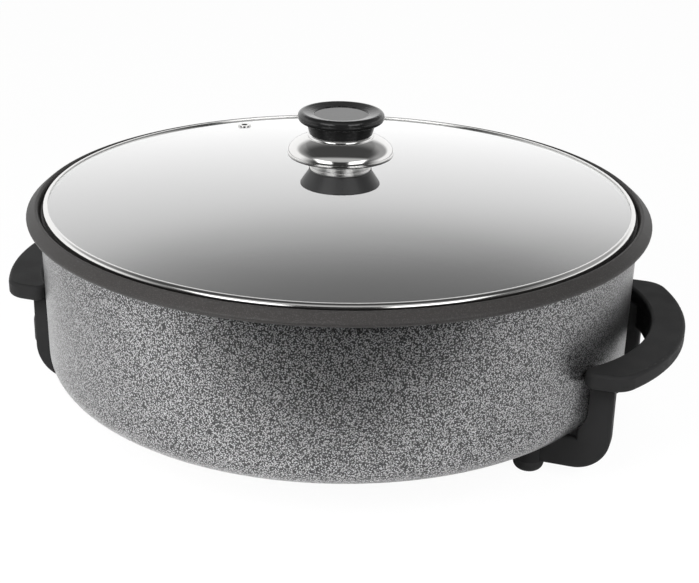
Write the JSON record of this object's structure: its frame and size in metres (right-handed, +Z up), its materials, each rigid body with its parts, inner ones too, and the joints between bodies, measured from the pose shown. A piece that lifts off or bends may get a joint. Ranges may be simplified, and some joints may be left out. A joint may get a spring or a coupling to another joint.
{
  "type": "electric paella pan",
  "caption": "Round electric pan with deep hammered wall, flared rim, loose domed glass lid with knob, and moulded side handles that run down into legs with feet.",
  "frame": {"origin": "on the table under the centre of the pan, at the bottom of the feet", "axes": "+X through the two handles, away from the inlet, +Z up"},
  "size_m": [0.476, 0.4198, 0.2075],
  "materials": {
    "hammered_cast": "cast aluminium, hammered grey paint outside, non-stick inside",
    "element_sheath": "drawn tube sheath, heat tinted",
    "terminal_steel": "turned, bright",
    "ceramic": "unglazed steatite ceramic",
    "guard_phenolic": "moulded phenolic, satin",
    "handle_phenolic": "moulded phenolic, satin",
    "screw_steel": "zinc plated",
    "fibre": "pressed fibre sheet",
    "foot_rubber": "moulded, matt",
    "lid_glass": "clear tempered glass",
    "polished_steel": "polished stainless steel",
    "silicone": "moulded, matt",
    "knob_base_plastic": "moulded phenolic, satin",
    "knob_gloss": "moulded, polished",
    "knob_insert": "moulded disc, satin"
  },
  "bodies": {
    "pan": {"pan": "hammered_cast", "heating_element": "element_sheath", "terminal_pins": "terminal_steel", "terminal_insulators": "ceramic", "probe_sleeve": "terminal_steel", "inlet_guard": "guard_phenolic", "inlet_guard_screws": "screw_steel", "handle_left": "handle_phenolic", "handle_right": "handle_phenolic", "handle_screws_left": "screw_steel", "handle_screws_right": "screw_steel", "heat_washers_left": "fibre", "heat_washers_right": "fibre", "foot_front_left": "foot_rubber", "foot_front_right": "foot_rubber", "foot_rear_left": "foot_rubber", "foot_rear_right": "foot_rubber"},
    "lid": {"lid_glass": "lid_glass", "lid_band": "polished_steel", "vent_grommet": "polished_steel", "knob_gaskets": "silicone", "knob_base": "knob_base_plastic", "knob_collar": "polished_steel", "knob_finger_guard": "polished_steel", "knob_neck_ring": "polished_steel", "knob_grip": "knob_gloss", "knob_insert": "knob_insert", "knob_screw": "screw_steel", "knob_washer": "screw_steel"}
  },
  "joints": [
    {"name": "lid_lift", "type": "slide", "parent": "pan", "child": "lid", "axis": [0, 0, 1], "range_m": [0, 0.2]}
  ]
}
